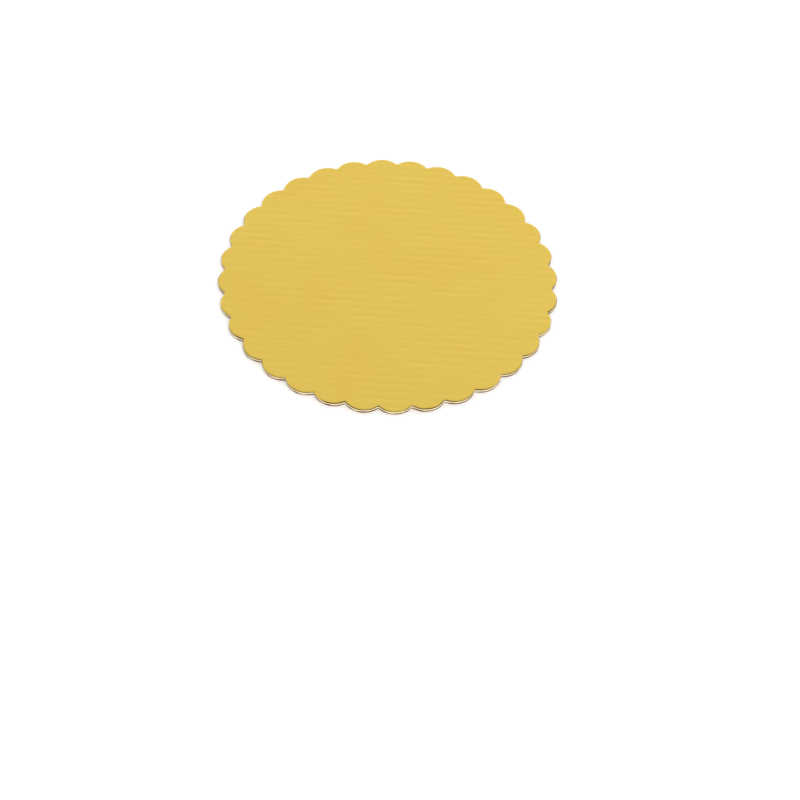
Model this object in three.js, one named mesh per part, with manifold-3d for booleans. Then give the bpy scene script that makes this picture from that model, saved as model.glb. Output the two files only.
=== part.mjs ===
// Round cake board with a scalloped rim. It is one piece of single-wall corrugated board: a flat back
// liner, a fluted medium and a foil-faced top liner, bonded into one sheet and die-cut in one stroke.
// Millimetres, +Z up. The origin is at the centre of the underside, and the flutes run along X.

import * as THREE from "three";
import { mergeVertices } from "three/addons/utils/BufferGeometryUtils.js";
import Module from "manifold-3d";

// Outline
const boardDiameter = 254; // over the crowns of the scallops
const scallopPitch = 25; // nominal width of one scallop along the rim
const scallopDepth = 5.2; // from a crown in to where two scallops would meet in a point
const cuspRadius = 1.5; // round left in that point by the bent cutting rule

// Plies of the board
const boardThickness = 4;
const topLinerThickness = 0.4; // paper with its foil film
const backLinerThickness = 0.3;
const mediumThickness = 0.25;
const glueSink = 0.05; // how far a flute tip beds into the glue on each liner

// Flutes
const flutePitch = 7;
const tipLandWidth = 1.6; // flat strip of top liner over each flute tip
const washboardDepth = 0.12; // dip of the top liner between two strips

// Rim, which the cutting rule presses down before it goes through
const rimRollWidth = 1.4;
const rimRollDrop = 0.9;

// Fineness of the curves
const scallopSteps = 6;
const cuspSteps = 2;
const rollSteps = 2;
const dipSteps = 4;
const waveSteps = 8;
const weldDistance = 1e-4; // corners nearer to each other than this are one corner

// Worked out from the sizes above
const crownRadius = boardDiameter / 2;
const scallopCount = Math.round((Math.PI * boardDiameter) / scallopPitch);
const fluteCount = Math.ceil(crownRadius / flutePitch); // on each side of the middle flute
const blankHalfWidth = (fluteCount + 1) * flutePitch;
const linerUnderside = boardThickness - topLinerThickness;

const wasm = await Module();
wasm.setup();

// Solid of a closed three.js geometry, for cuts and joins
function solidOf(geometry) {
  const bare = geometry.clone();
  bare.deleteAttribute("normal");
  bare.deleteAttribute("uv");
  const merged = mergeVertices(bare, weldDistance);
  return new wasm.Manifold(
    new wasm.Mesh({
      numProp: 3,
      vertProperties: new Float32Array(merged.attributes.position.array),
      triVerts: new Uint32Array(merged.index.array),
    }),
  );
}

// Geometry of a solid, to be shown and kept
function geometryOf(solid) {
  const mesh = solid.getMesh();
  const geometry = new THREE.BufferGeometry();
  geometry.setAttribute("position", new THREE.BufferAttribute(mesh.vertProperties, 3));
  geometry.setIndex(new THREE.BufferAttribute(mesh.triVerts, 1));
  geometry.computeVertexNormals();
  return geometry;
}

// Points of an arc, without its last one
function arcPoints(x, y, radius, from, to, steps) {
  return Array.from({ length: steps }, (_, i) => {
    const angle = from + ((to - from) * i) / steps;
    return new THREE.Vector2(x + radius * Math.cos(angle), y + radius * Math.sin(angle));
  });
}

// Scalloped outline: round lobes all the way round, with a small round in each cusp
function scallopOutline() {
  const halfPitch = Math.PI / scallopCount;
  const pointRadius = crownRadius - scallopDepth;
  const halfChord = pointRadius * Math.sin(halfPitch);
  const rise = crownRadius - pointRadius * Math.cos(halfPitch);
  const lobeRadius = (halfChord ** 2 + rise ** 2) / (2 * rise);
  const lobeCentre = crownRadius - lobeRadius;
  const reach = lobeRadius + cuspRadius;
  const cuspCentre =
    lobeCentre * Math.cos(halfPitch) + Math.sqrt(reach ** 2 - (lobeCentre * Math.sin(halfPitch)) ** 2);
  const halfLobe = Math.atan2(
    cuspCentre * Math.sin(halfPitch),
    cuspCentre * Math.cos(halfPitch) - lobeCentre,
  );
  const points = [];
  for (let i = 0; i < scallopCount; i += 1) {
    const crown = (2 * i + 1) * halfPitch;
    const cusp = crown + halfPitch;
    const [lobeX, lobeY] = [lobeCentre * Math.cos(crown), lobeCentre * Math.sin(crown)];
    const [cuspX, cuspY] = [cuspCentre * Math.cos(cusp), cuspCentre * Math.sin(cusp)];
    const inwards = crown + halfLobe + Math.PI;
    const sweep = 2 * (halfLobe - halfPitch);
    points.push(...arcPoints(lobeX, lobeY, lobeRadius, crown - halfLobe, crown + halfLobe, scallopSteps));
    points.push(...arcPoints(cuspX, cuspY, cuspRadius, inwards, inwards - sweep, cuspSteps));
  }
  return new THREE.Shape(points);
}

// Section in the YZ plane, run along X past both sides of the board
function alongFlutes(points) {
  const geometry = new THREE.ExtrudeGeometry(new THREE.Shape(points), {
    depth: 2 * blankHalfWidth,
    bevelEnabled: false,
  });
  geometry.translate(0, 0, -blankHalfWidth);
  geometry.applyMatrix4(new THREE.Matrix4().set(0, 0, 1, 0, 1, 0, 0, 0, 0, 1, 0, 0, 0, 0, 0, 1));
  return solidOf(geometry);
}

// Everything inside the cut outline and under a surface at the given height that rolls down along the rim
function underRolledRim(height) {
  const geometry = new THREE.ExtrudeGeometry(scallopOutline(), {
    depth: boardThickness,
    bevelThickness: rimRollDrop,
    bevelSize: rimRollWidth,
    bevelOffset: -rimRollWidth,
    bevelSegments: rollSteps,
  });
  geometry.translate(0, 0, height - rimRollDrop - boardThickness);
  return solidOf(geometry);
}

// Everything under the washboard surface of the top liner: flat over each flute tip, with a dip between
function underWashboard(height) {
  const points = [new THREE.Vector2(blankHalfWidth, -boardThickness)];
  const dipWidth = flutePitch - tipLandWidth;
  for (let i = fluteCount; i >= -fluteCount; i -= 1) {
    const tip = i * flutePitch;
    points.push(new THREE.Vector2(tip + tipLandWidth / 2, height));
    for (let step = 0; step < dipSteps; step += 1) {
      const share = step / dipSteps;
      const dip = (washboardDepth * (1 - Math.cos(2 * Math.PI * share))) / 2;
      points.push(new THREE.Vector2(tip - tipLandWidth / 2 - dipWidth * share, height - dip));
    }
  }
  points.push(new THREE.Vector2(-blankHalfWidth, -boardThickness));
  return alongFlutes(points);
}

// Wave of the medium between the liners, with a flat tip bedded in the glue under every flat strip
function flutedMedium() {
  const lowest = backLinerThickness + mediumThickness / 2 - glueSink;
  const highest = linerUnderside - mediumThickness / 2 + glueSink;
  const middle = (lowest + highest) / 2;
  const swing = (highest - lowest) / 2 / Math.cos(Math.PI / waveSteps);
  const turn = (2 * Math.PI) / flutePitch;
  const stepWidth = flutePitch / waveSteps;
  const steps = Math.round((2 * blankHalfWidth) / stepWidth);
  const line = Array.from({ length: steps }, (_, i) => {
    const y = -blankHalfWidth + (i + 0.5) * stepWidth;
    return new THREE.Vector2(y, middle + swing * Math.cos(turn * y));
  });
  return alongFlutes([...thickened(line, -1), ...thickened(line, 1).reverse()]);
}

// One face of the medium: the middle line moved out square to itself by half the paper's thickness
function thickened(line, side) {
  return line.map((point, i) => {
    const before = line[Math.max(i - 1, 0)];
    const after = line[Math.min(i + 1, line.length - 1)];
    const into = point.clone().sub(before).normalize();
    const out = after.clone().sub(point).normalize();
    const along = into.add(out);
    const reach = (side * mediumThickness) / along.lengthSq();
    return new THREE.Vector2(point.x - along.y * reach, point.y + along.x * reach);
  });
}

// Back liner, flat on its underside
function backLiner() {
  return alongFlutes([
    new THREE.Vector2(-blankHalfWidth, 0),
    new THREE.Vector2(blankHalfWidth, 0),
    new THREE.Vector2(blankHalfWidth, backLinerThickness),
    new THREE.Vector2(-blankHalfWidth, backLinerThickness),
  ]);
}

function cakeBoard() {
  const top = underWashboard(boardThickness).intersect(underRolledRim(boardThickness));
  const topLiner = top.subtract(underRolledRim(linerUnderside));
  const medium = flutedMedium().intersect(underRolledRim(linerUnderside + glueSink));
  const back = backLiner().intersect(underRolledRim(boardThickness));
  const sheet = topLiner.add(medium).add(back);
  const foil = new THREE.MeshStandardMaterial({ color: 0xe2c358, roughness: 0.2, metalness: 1 });
  const board = new THREE.Mesh(geometryOf(sheet), foil);
  board.name = "cake_board";
  return board;
}

const object = new THREE.Group();
object.add(cakeBoard());

export default object;
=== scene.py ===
# Round cake board with a scalloped rim, die-cut from gold-foiled single-wall corrugated board.
# Metres, +Z up, with the origin at the centre of the underside and the flutes along X.

import math

import bpy
import numpy as np
from mathutils import Matrix, Vector
from mathutils.geometry import delaunay_2d_cdt


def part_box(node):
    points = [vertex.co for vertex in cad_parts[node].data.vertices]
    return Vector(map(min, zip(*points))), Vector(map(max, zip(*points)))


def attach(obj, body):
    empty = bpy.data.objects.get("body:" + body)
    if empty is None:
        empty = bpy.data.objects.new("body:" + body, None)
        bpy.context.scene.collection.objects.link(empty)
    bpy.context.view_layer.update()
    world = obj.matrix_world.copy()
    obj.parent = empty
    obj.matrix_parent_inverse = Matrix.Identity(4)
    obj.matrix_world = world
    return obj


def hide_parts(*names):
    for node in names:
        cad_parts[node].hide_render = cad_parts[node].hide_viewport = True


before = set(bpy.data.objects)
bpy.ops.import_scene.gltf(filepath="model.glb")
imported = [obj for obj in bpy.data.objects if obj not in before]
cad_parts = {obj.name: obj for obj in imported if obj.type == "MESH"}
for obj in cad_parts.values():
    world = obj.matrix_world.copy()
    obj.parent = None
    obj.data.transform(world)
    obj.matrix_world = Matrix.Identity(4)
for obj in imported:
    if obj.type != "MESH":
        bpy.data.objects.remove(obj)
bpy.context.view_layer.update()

MM = 0.001


# Die cut
# The plies are bonded into one sheet and then cut in one stroke by a bent steel rule, so they share
# one outline: round lobes with a small round in each cusp. Just before it goes through, the rule
# presses the rim of the top ply down.

lowest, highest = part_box("cake_board")
BOARD_THICKNESS = highest.z - lowest.z
SCALLOP_COUNT = 32
SCALLOP_DEPTH = 5.2 * MM  # from a crown in to where two scallops would meet in a point
CUSP_RADIUS = 1.5 * MM  # round left in that point by the bent rule
RIM_ROLL_WIDTH = 1.4 * MM
RIM_ROLL_DROP = 0.9 * MM

# A cusp lies on each axis, so the box of the board ends at the crowns beside it
HALF_PITCH = math.pi / SCALLOP_COUNT
CROWN_RADIUS = highest.x / math.cos(HALF_PITCH)

# Fibres that the rule splays at the cut
BURR_WIDTH = 1.2 * MM
BURR_UNEVEN = 0.5  # share by which the burr grows and shrinks along the rim
BURR_WAVES = (23, 61, 97)  # swells of it once round the board

# Fineness of the mesh
LOBE_STEPS = 44
CUSP_STEPS = 6
ROLL_STEPS = 7
FLAT_MARGIN = 0.4 * MM  # flat strip between the roll and the net of triangles inside it
ROW_WIDTH = 0.5 * MM
COLUMN_WIDTH = 6 * MM
TRIANGLES_INSIDE = 1  # what the mesher is asked for
WELD_DISTANCE = 1e-9


def outline_arcs():
    """Centre, direction and radius of each point of the cut, and -1 on a lobe or 1 in a cusp."""
    point_radius = CROWN_RADIUS - SCALLOP_DEPTH
    half_chord = point_radius * math.sin(HALF_PITCH)
    rise = CROWN_RADIUS - point_radius * math.cos(HALF_PITCH)
    lobe_radius = (half_chord**2 + rise**2) / (2 * rise)
    lobe_centre = CROWN_RADIUS - lobe_radius
    reach = lobe_radius + CUSP_RADIUS
    across = lobe_centre * math.sin(HALF_PITCH)
    cusp_centre = lobe_centre * math.cos(HALF_PITCH) + math.sqrt(reach**2 - across**2)
    half_lobe = math.atan2(
        cusp_centre * math.sin(HALF_PITCH), cusp_centre * math.cos(HALF_PITCH) - lobe_centre
    )
    arcs = []
    for scallop in range(SCALLOP_COUNT):
        crown = (2 * scallop + 1) * HALF_PITCH
        cusp = crown + HALF_PITCH
        for step in range(LOBE_STEPS):
            angle = crown + half_lobe * (2 * step / LOBE_STEPS - 1)
            arcs.append((crown, lobe_centre, angle, lobe_radius, -1))
        for step in range(CUSP_STEPS):
            angle = cusp + math.pi + (half_lobe - HALF_PITCH) * (1 - 2 * step / CUSP_STEPS)
            arcs.append((cusp, cusp_centre, angle, CUSP_RADIUS, 1))
    bearing, distance, angle, radius, sign = np.array(arcs).T
    centres = np.column_stack([np.cos(bearing), np.sin(bearing)]) * distance[:, None]
    directions = np.column_stack([np.cos(angle), np.sin(angle)])
    return centres, directions, radius, sign


def die_cut_plan():
    """Points, faces, inset from the cut, outward direction and roll angle of the flat sheet."""
    centres, directions, radius, sign = outline_arcs()
    count = len(radius)
    rolls = [math.pi / 2 * (1 - step / ROLL_STEPS) for step in range(ROLL_STEPS + 1)]
    insets = [RIM_ROLL_WIDTH * (1 - math.sin(roll)) for roll in rolls]
    insets.append(RIM_ROLL_WIDTH + FLAT_MARGIN)
    rolls.append(0)
    rings = [centres + directions * (radius + sign * inset)[:, None] for inset in insets]
    turn = np.arange(count)
    onward = np.roll(turn, -1)
    bands = [
        np.column_stack([turn, onward, onward + count, turn + count]) + ring * count
        for ring in range(len(rings) - 1)
    ]

    inner = rings[-1]
    bearing = np.arctan2(inner[:, 1], inner[:, 0])
    order = np.argsort(bearing)
    limit = np.hypot(inner[:, 0], inner[:, 1])[order]
    rows = math.ceil(CROWN_RADIUS / ROW_WIDTH)
    columns = math.ceil(CROWN_RADIUS / COLUMN_WIDTH)
    row, column = np.mgrid[-rows : rows + 1, -columns : columns + 1]
    x = ((column + row % 2 / 2) * COLUMN_WIDTH).ravel()
    y = (row * ROW_WIDTH).ravel()
    reach = np.interp(np.arctan2(y, x), bearing[order], limit, period=2 * math.pi)
    inside = np.hypot(x, y) < reach - ROW_WIDTH
    points = np.concatenate([inner, np.column_stack([x[inside], y[inside]])])

    # Rows lie close and columns far apart, so the net is made with y stretched to even them out
    stretched = [Vector(point) for point in points * (1, COLUMN_WIDTH / ROW_WIDTH)]
    edges = np.column_stack([turn, onward]).tolist()
    net = delaunay_2d_cdt(stretched, edges, [], TRIANGLES_INSIDE, WELD_DISTANCE)
    triangles = np.array(net[2]) + (len(rings) - 1) * count

    points = np.concatenate(rings[:-1] + [points])
    flat_count = len(points) - len(rings) * count
    inset = np.concatenate([np.repeat(insets, count), np.full(flat_count, CROWN_RADIUS)])
    roll = np.concatenate([np.repeat(rolls, count), np.zeros(flat_count)])
    outward = np.tile(directions * -sign[:, None], (len(rings), 1))
    outward = np.concatenate([outward, np.zeros((flat_count, 2))])
    faces = np.concatenate(bands).tolist() + triangles.tolist()
    return {
        "x": points[:, 0],
        "y": points[:, 1],
        "faces": faces,
        "rim": count,
        "inset": inset,
        "roll": roll,
        "outward": outward,
    }


def rim_drop():
    """How far the rule has pressed the top of the sheet down, at each point of the plan."""
    return RIM_ROLL_DROP * (1 - np.cos(PLAN["roll"]))


def burr(thickness):
    """What the rule adds to a ply at the cut, where it splays the fibres, uneven along the rim."""
    bearing = np.arctan2(PLAN["y"], PLAN["x"])
    uneven = sum(np.sin(waves * bearing + waves) for waves in BURR_WAVES) / len(BURR_WAVES)
    near = np.clip(1 - PLAN["inset"] / BURR_WIDTH, 0, 1)
    return thickness * near**2 * (1 + BURR_UNEVEN * uneven)


PLAN = die_cut_plan()


# Back liner
# Flat paper of recycled pulp, glued to the flute tips from below. It is white outside and brown
# inside, where the open flutes show it. Between the tips the drying glue draws it in a little, so
# fine ripples show on the underside as they do on top.

BACK_LINER_THICKNESS = 0.3 * MM
BACK_LINER_BURR = 0.3 * MM
BACK_RIPPLE = 0.06 * MM
FLUTE_PITCH = 7 * MM
TIP_LAND_WIDTH = 1.6 * MM  # strip of a liner that lies flat on a flute tip
BACK_TIPS_AT = 0.5  # where the tips on the back liner lie, as a share of the pitch
CUT_CORNER = math.radians(50)  # a fold sharper than this is an edge

FIBRE_LENGTH = 2.4 * MM
FIBRE_WIDTH = 0.3 * MM  # a real fibre is a tenth of this; drawn as coarse as it needs to show
FIBRE_TANGLE = 0.6
PULP_CLOUD = 9 * MM
TONE_SPREAD = 0.25
PAPER_SPECULAR = 0.3


def between_tips(y, tips_at):
    """From 0 on the strip glued to a flute tip to 1 midway to the next, with its slope in y."""
    share = np.mod(y / FLUTE_PITCH - tips_at, 1)
    land = TIP_LAND_WIDTH / FLUTE_PITCH
    free = np.clip((share - land / 2) / (1 - land), 0, 1)
    turn = 2 * math.pi
    slope = math.pi * np.sin(turn * free) / (FLUTE_PITCH - TIP_LAND_WIDTH)
    return (1 - np.cos(turn * free)) / 2, slope


def ply(name, upper, lower, top_finish, finish):
    """Closed sheet between two heights over the plan, with one finish on top and one elsewhere."""
    x, y, faces, rim = PLAN["x"], PLAN["y"], PLAN["faces"], PLAN["rim"]
    count = len(x)
    points = np.concatenate([np.column_stack([x, y, upper]), np.column_stack([x, y, lower])])
    under = [[corner + count for corner in reversed(face)] for face in faces]
    wall = [[i + count, (i + 1) % rim + count, (i + 1) % rim, i] for i in range(rim)]
    mesh = bpy.data.meshes.new(name)
    mesh.from_pydata(points.tolist(), [], faces + under + wall)
    mesh.materials.append(top_finish)
    mesh.materials.append(finish)
    finish_of_face = np.ones(len(mesh.polygons), int)
    finish_of_face[: len(faces)] = 0
    mesh.polygons.foreach_set("material_index", finish_of_face)
    mesh.shade_smooth()
    mesh.set_sharp_from_angle(angle=CUT_CORNER)
    piece = bpy.data.objects.new(name, mesh)
    bpy.context.collection.objects.link(piece)
    return piece


def linear(hex_colour):
    """Linear colour of an sRGB hex value."""
    shares = [int(hex_colour[i : i + 2], 16) / 255 for i in (1, 3, 5)]
    return (*[s / 12.92 if s <= 0.04045 else ((s + 0.055) / 1.055) ** 2.4 for s in shares], 1)


def add_node(tree, kind, inputs=(), **settings):
    """Node of that kind with its settings; inputs give each socket its link or its value."""
    node = tree.nodes.new(kind)
    for setting, value in settings.items():
        setattr(node, setting, value)
    for socket, source in inputs:
        if isinstance(source, bpy.types.NodeSocket):
            tree.links.new(source, node.inputs[socket])
        else:
            node.inputs[socket].default_value = source
    return node


def paper(name, pale, deep, roughness, tooth):
    """Uncoated paper: a cloudy tone from the pulp, and matted fibres that lie across the flutes."""
    material = bpy.data.materials.new(name)
    material.use_nodes = True
    tree = material.node_tree
    surface = tree.nodes["Principled BSDF"]
    place = add_node(tree, "ShaderNodeTexCoord").outputs["Object"]
    grain = add_node(
        tree,
        "ShaderNodeMapping",
        [("Vector", place), ("Scale", (1 / FIBRE_WIDTH, 1 / FIBRE_LENGTH, 1 / FIBRE_WIDTH))],
    )
    fibre = add_node(
        tree,
        "ShaderNodeTexNoise",
        [
            ("Vector", grain.outputs[0]),
            ("Scale", 1),
            ("Detail", 3),
            ("Distortion", FIBRE_TANGLE),
        ],
    )
    cloud = add_node(
        tree, "ShaderNodeTexNoise", [("Vector", place), ("Scale", 1 / PULP_CLOUD), ("Detail", 4)]
    )
    both = add_node(
        tree,
        "ShaderNodeMath",
        [(0, fibre.outputs["Fac"]), (1, cloud.outputs["Fac"])],
        operation="ADD",
    )
    spread = add_node(
        tree,
        "ShaderNodeMapRange",
        [
            ("Value", both.outputs[0]),
            ("From Min", 1 - TONE_SPREAD),
            ("From Max", 1 + TONE_SPREAD),
        ],
    )
    tone = add_node(
        tree,
        "ShaderNodeMix",
        [("Factor", spread.outputs[0]), ("A", linear(deep)), ("B", linear(pale))],
        data_type="RGBA",
    )
    relief = add_node(
        tree, "ShaderNodeBump", [("Height", fibre.outputs["Fac"]), ("Distance", tooth)]
    )
    tree.links.new(tone.outputs["Result"], surface.inputs["Base Color"])
    tree.links.new(relief.outputs[0], surface.inputs["Normal"])
    surface.inputs["Roughness"].default_value = roughness
    surface.inputs["Specular IOR Level"].default_value = PAPER_SPECULAR
    return material


drawn_in, _ = between_tips(PLAN["y"], BACK_TIPS_AT)
back_liner = ply(
    "back_liner",
    upper=BACK_LINER_THICKNESS + burr(BACK_LINER_BURR),
    lower=BACK_RIPPLE * drawn_in,
    top_finish=paper(
        "brown_recycled_paper", "#a9855c", "#86653f", roughness=0.85, tooth=0.02 * MM
    ),
    finish=paper("white_recycled_paper", "#f4e7d6", "#ecdcc8", roughness=0.8, tooth=0.02 * MM),
)
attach(back_liner, "root")
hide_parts("cake_board")


# Fluted medium
# Thin semi-chemical paper, steamed and pressed between fluted rolls into a wave, with its tips
# bedded in the glue on both liners. Under the pressed rim the wave is crushed with the top liner.

MEDIUM_THICKNESS = 0.25 * MM
GLUE_SINK = 0.05 * MM  # how far a tip beds into the glue on each liner
TOP_LINER_THICKNESS = 0.4 * MM
TOP_LINER_BURR = 0.85 * MM


def flute_wave():
    """Middle height of the medium at each point of the plan, and its slope in y."""
    liner_underside = BOARD_THICKNESS - TOP_LINER_THICKNESS
    trough = BACK_LINER_THICKNESS + MEDIUM_THICKNESS / 2 - GLUE_SINK
    crest = liner_underside - MEDIUM_THICKNESS / 2 + GLUE_SINK
    turn = 2 * math.pi / FLUTE_PITCH
    swing = (crest - trough) / 2
    height = (crest + trough) / 2 + swing * np.cos(turn * PLAN["y"])
    return height, -swing * turn * np.sin(turn * PLAN["y"])


def crushed(height):
    """Heights in the sheet, squeezed down towards the back liner under the pressed rim."""
    depth = BOARD_THICKNESS - TOP_LINER_THICKNESS - BACK_LINER_THICKNESS
    left = 1 - (rim_drop() + burr(TOP_LINER_BURR)) / depth
    return BACK_LINER_THICKNESS + (height - BACK_LINER_THICKNESS) * left


wave, wave_slope = flute_wave()
half_thickness = MEDIUM_THICKNESS / 2 * np.sqrt(1 + wave_slope**2)
# Kraft brown, darkened past its own tone: partly the paper's colour, partly painted shade of the gap
# between the liners at the cut
fluting_and_gap_shade = paper("fluting_paper", "#8a663d", "#64452a", roughness=0.85, tooth=0.03 * MM)
fluted_medium = ply(
    "fluted_medium",
    upper=crushed(wave + half_thickness),
    lower=crushed(wave - half_thickness),
    top_finish=fluting_and_gap_shade,
    finish=fluting_and_gap_shade,
)
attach(fluted_medium, "root")
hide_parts("cake_board")


# Top liner with its foil
# Smooth bleached paper with a gold-lacquered metallised film laminated to it. It lies flat over each
# flute tip and sinks a little between two of them, which gives the faint ripples across the gold.
# Its rim rolls down to the cut, where the bare paper shows.

RIPPLE = 0.12 * MM
RIPPLE_UNEVEN = 0.6  # share by which a ripple fades and deepens along its flute
RIPPLE_LENGTHS = (150 * MM, 50 * MM, 19 * MM)
RIPPLE_STRETCH = (0.7, 1.4)  # spread of those lengths from flute to flute
RIPPLE_SEED = 12
TOP_TIPS_AT = 0

GOLD_TONES = ("#e2be56", "#e3c65f")
GOLD_ROUGHNESS = (0.17, 0.25)
TONE_PATCH = 70 * MM
FILM_DIMPLE = 2.2 * MM
FILM_DIMPLE_DEPTH = 0.004 * MM
FIBRE_SHOW_THROUGH = 0.0012 * MM

# Heights between which the film on the rolled rim turns from plain gold to duller gold darkened by a
# painted dark reflection
RIM_REFLECTION_FROM = BOARD_THICKNESS - 0.38 * MM
RIM_REFLECTION_TO = BOARD_THICKNESS - 0.48 * MM
RIM_REFLECTION_UNEVEN = 0.9 * MM
RIM_REFLECTION_LENGTH = 16 * MM
# Colour of the painted dark reflection down the rolled rim
PAINTED_RIM_REFLECTION_TONE = "#261b0a"
RIM_DULL_ROUGHNESS = 0.45


def foil_heights():
    """Height of the foil at each point of the plan, and its normal there."""
    x, y, roll = PLAN["x"], PLAN["y"], PLAN["roll"]
    hollow, slope = between_tips(y, TOP_TIPS_AT)
    flute = np.floor(y / FLUTE_PITCH).astype(int)
    flute -= flute.min()
    flutes = flute.max() + 1
    rng = np.random.default_rng(RIPPLE_SEED)
    depth = np.full(len(x), 1 - RIPPLE_UNEVEN)
    for length in RIPPLE_LENGTHS:
        phase = rng.uniform(0, 2 * math.pi, flutes)[flute]
        stretch = rng.uniform(*RIPPLE_STRETCH, flutes)[flute]
        share = RIPPLE_UNEVEN / len(RIPPLE_LENGTHS)
        depth += share * np.sin(2 * math.pi * x / (length * stretch) + phase)
    height = BOARD_THICKNESS - RIPPLE * depth * hollow - rim_drop()
    fall = RIM_ROLL_DROP / RIM_ROLL_WIDTH * np.sin(roll)
    normal = np.column_stack(
        [
            fall * PLAN["outward"][:, 0],
            fall * PLAN["outward"][:, 1] + np.cos(roll) * RIPPLE * depth * slope,
            np.cos(roll),
        ]
    )
    return height, normal / np.linalg.norm(normal, axis=1)[:, None]


def gold_foil():
    """Metallised film under gold lacquer: a bright soft mirror, dimpled by the paper under it.

    Down the rolled rim it is unevenly duller, and darkened there by a painted dark reflection.
    """
    material = bpy.data.materials.new("gold_lacquered_foil")
    material.use_nodes = True
    tree = material.node_tree
    surface = tree.nodes["Principled BSDF"]
    place = add_node(tree, "ShaderNodeTexCoord").outputs["Object"]
    patch = add_node(
        tree, "ShaderNodeTexNoise", [("Vector", place), ("Scale", 1 / TONE_PATCH), ("Detail", 3)]
    )
    tone = add_node(
        tree,
        "ShaderNodeMix",
        [
            ("Factor", patch.outputs["Fac"]),
            ("A", linear(GOLD_TONES[0])),
            ("B", linear(GOLD_TONES[1])),
        ],
        data_type="RGBA",
    )
    height = add_node(tree, "ShaderNodeSeparateXYZ", [("Vector", place)]).outputs["Z"]
    rim_reflection_noise = add_node(tree, "ShaderNodeTexNoise", [("Vector", place), ("Scale", 1 / RIM_REFLECTION_LENGTH)])
    reach = add_node(
        tree,
        "ShaderNodeMath",
        [(0, rim_reflection_noise.outputs["Fac"]), (1, RIM_REFLECTION_UNEVEN), (2, height)],
        operation="MULTIPLY_ADD",
    )
    # Mask of the painted dark reflection: it grows lower down the roll and is uneven along the rim
    painted_rim_reflection = add_node(
        tree,
        "ShaderNodeMapRange",
        [
            ("Value", reach.outputs[0]),
            ("From Min", RIM_REFLECTION_FROM + RIM_REFLECTION_UNEVEN / 2),
            ("From Max", RIM_REFLECTION_TO + RIM_REFLECTION_UNEVEN / 2),
        ],
    )
    film = add_node(
        tree,
        "ShaderNodeMix",
        [("Factor", painted_rim_reflection.outputs[0]), ("A", tone.outputs["Result"]), ("B", linear(PAINTED_RIM_REFLECTION_TONE))],
        data_type="RGBA",
    )
    gloss = add_node(
        tree,
        "ShaderNodeMapRange",
        [
            ("Value", patch.outputs["Fac"]),
            ("To Min", GOLD_ROUGHNESS[0]),
            ("To Max", GOLD_ROUGHNESS[1]),
        ],
    )
    dulled = add_node(
        tree,
        "ShaderNodeMix",
        [("Factor", painted_rim_reflection.outputs[0]), ("A", gloss.outputs[0]), ("B", RIM_DULL_ROUGHNESS)],
    )
    dimples = add_node(
        tree, "ShaderNodeTexNoise", [("Vector", place), ("Scale", 1 / FILM_DIMPLE), ("Detail", 2)]
    )
    dimpled = add_node(
        tree,
        "ShaderNodeBump",
        [("Height", dimples.outputs["Fac"]), ("Distance", FILM_DIMPLE_DEPTH)],
    )
    grain = add_node(
        tree,
        "ShaderNodeMapping",
        [("Vector", place), ("Scale", (1 / FIBRE_WIDTH, 1 / FIBRE_LENGTH, 1 / FIBRE_WIDTH))],
    )
    fibre = add_node(
        tree, "ShaderNodeTexNoise", [("Vector", grain.outputs[0]), ("Scale", 1), ("Detail", 1)]
    )
    relief = add_node(
        tree,
        "ShaderNodeBump",
        [
            ("Height", fibre.outputs["Fac"]),
            ("Distance", FIBRE_SHOW_THROUGH),
            ("Normal", dimpled.outputs[0]),
        ],
    )
    tree.links.new(film.outputs["Result"], surface.inputs["Base Color"])
    tree.links.new(dulled.outputs["Result"], surface.inputs["Roughness"])
    tree.links.new(relief.outputs[0], surface.inputs["Normal"])
    surface.inputs["Metallic"].default_value = 1
    return material


def set_foil_normals(mesh, normals):
    """Gives the foil the normals of its true curve; a zero leaves the other corners as they are."""
    vertex_normals = np.zeros((len(mesh.vertices), 3))
    vertex_normals[: len(normals)] = normals
    corners = np.zeros(len(mesh.loops), int)
    mesh.loops.foreach_get("vertex_index", corners)
    foil_corners = sum(len(face) for face in PLAN["faces"])
    corner_normals = vertex_normals[corners]
    corner_normals[foil_corners:] = 0
    mesh.normals_split_custom_set(corner_normals.tolist())


foil_height, foil_normal = foil_heights()
foil_liner = ply(
    "foil_liner",
    upper=foil_height,
    lower=foil_height - TOP_LINER_THICKNESS - burr(TOP_LINER_BURR),
    top_finish=gold_foil(),
    # Bleached paper is near white; its warm cream here is partly a painted reflection of gold light
    # on the cut edge
    finish=paper("bleached_liner_paper_with_gold_reflection", "#fff0cb", "#f9e2b4", roughness=0.75, tooth=0.02 * MM),
)
set_foil_normals(foil_liner.data, foil_normal)
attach(foil_liner, "root")
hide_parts("cake_board")


# Floor
# A plain white table, which only takes the shadow.

FLOOR_WIDTH = 12
FLOOR_GAP = 0.01 * MM  # keeps it just clear of the underside
WHITE = (1, 1, 1, 1)

bpy.ops.mesh.primitive_plane_add(size=FLOOR_WIDTH, location=(0, 0, -FLOOR_GAP))
floor = bpy.context.object
floor.name = "floor"
white_table = bpy.data.materials.new("white_table")
white_table.use_nodes = True
table_surface = white_table.node_tree.nodes["Principled BSDF"]
table_surface.inputs["Base Color"].default_value = WHITE
table_surface.inputs["Roughness"].default_value = 1
table_surface.inputs["Specular IOR Level"].default_value = 0
floor.data.materials.append(white_table)


# Light
# A white studio, less bright overhead, and a little brighter on the far side and on the right. The
# flat gold mirrors it, and each change of level brings out the ripples. A soft lamp, which the gold
# doesn't mirror, gives the shadow.

LOW_LEVEL = 1.13
OVERHEAD_LEVEL = 0.833
LOW_HEIGHT = math.radians(20)
OVERHEAD_HEIGHT = math.radians(76)
RIGHT_LIFT = 0.03
FAR_LIFT = 0.08
LIFT_REACH = 0.3  # how far to the side, of 1, the full lift is reached
LAMP_STRENGTH = 0.6
LAMP_WIDTH = math.radians(30)
LAMP_TURN = (math.radians(25), math.radians(20), 0)

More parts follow.
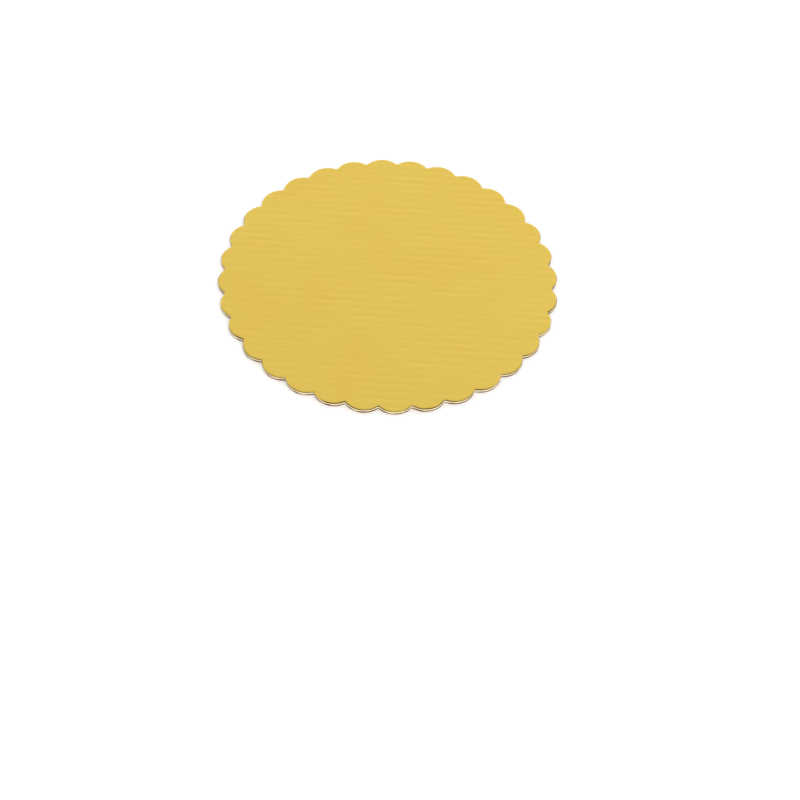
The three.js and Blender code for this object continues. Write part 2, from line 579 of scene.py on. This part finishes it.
world = bpy.data.worlds.new("white_studio")
bpy.context.scene.world = world
world.use_nodes = True
sky = world.node_tree
towards = add_node(sky, "ShaderNodeTexCoord").outputs["Generated"]
split = add_node(sky, "ShaderNodeSeparateXYZ", [("Vector", towards)])
strength = add_node(
    sky,
    "ShaderNodeMapRange",
    [
        ("Value", split.outputs["Z"]),
        ("From Min", math.sin(LOW_HEIGHT)),
        ("From Max", math.sin(OVERHEAD_HEIGHT)),
        ("To Min", LOW_LEVEL),
        ("To Max", OVERHEAD_LEVEL),
    ],
    interpolation_type="SMOOTHSTEP",
).outputs[0]
for axis, lift in (("X", RIGHT_LIFT), ("Y", FAR_LIFT)):
    side = add_node(
        sky,
        "ShaderNodeMapRange",
        [
            ("Value", split.outputs[axis]),
            ("From Min", -LIFT_REACH),
            ("From Max", LIFT_REACH),
            ("To Min", 1 - lift),
            ("To Max", 1 + lift),
        ],
        interpolation_type="SMOOTHSTEP",
    )
    strength = add_node(
        sky, "ShaderNodeMath", [(0, strength), (1, side.outputs[0])], operation="MULTIPLY"
    ).outputs[0]
background = sky.nodes["Background"]
background.inputs["Color"].default_value = WHITE
sky.links.new(strength, background.inputs["Strength"])

light = bpy.data.lights.new("lamp", "SUN")
light.energy = LAMP_STRENGTH
light.angle = LAMP_WIDTH
lamp = bpy.data.objects.new("lamp", light)
lamp.rotation_euler = LAMP_TURN
lamp.visible_glossy = False
bpy.context.collection.objects.link(lamp)


# Camera
# It stands in front and looks down on the board, tilted a little, with a long lens.

LENS = 87.293  # this and the sensor are in millimetres, as Blender takes them
SENSOR_WIDTH = 36
FARTHEST_SEEN = 100
AIMED_AT = Vector((15.0 * MM, -115.615 * MM, BOARD_THICKNESS))
DISTANCE = 1378.94 * MM
LOOKING_DOWN = math.radians(51.262)
TURNED_LEFT = math.radians(0.817)
TILTED = math.radians(2.865)

forward = Vector(
    (
        -math.sin(TURNED_LEFT) * math.cos(LOOKING_DOWN),
        math.cos(TURNED_LEFT) * math.cos(LOOKING_DOWN),
        -math.sin(LOOKING_DOWN),
    )
)
level_right = forward.cross(Vector((0, 0, 1))).normalized()
level_up = level_right.cross(forward)
right = level_right * math.cos(TILTED) + level_up * math.sin(TILTED)
up = level_up * math.cos(TILTED) - level_right * math.sin(TILTED)
turned = Matrix((right, up, -forward)).transposed()
lens = bpy.data.cameras.new("camera")
lens.lens = LENS
lens.sensor_width = SENSOR_WIDTH
lens.clip_end = FARTHEST_SEEN
camera = bpy.data.objects.new("camera", lens)
camera.matrix_world = Matrix.Translation(AIMED_AT - forward * DISTANCE) @ turned.to_4x4()
bpy.context.collection.objects.link(camera)
bpy.context.scene.camera = camera

bpy.context.scene.view_settings.view_transform = "Standard"
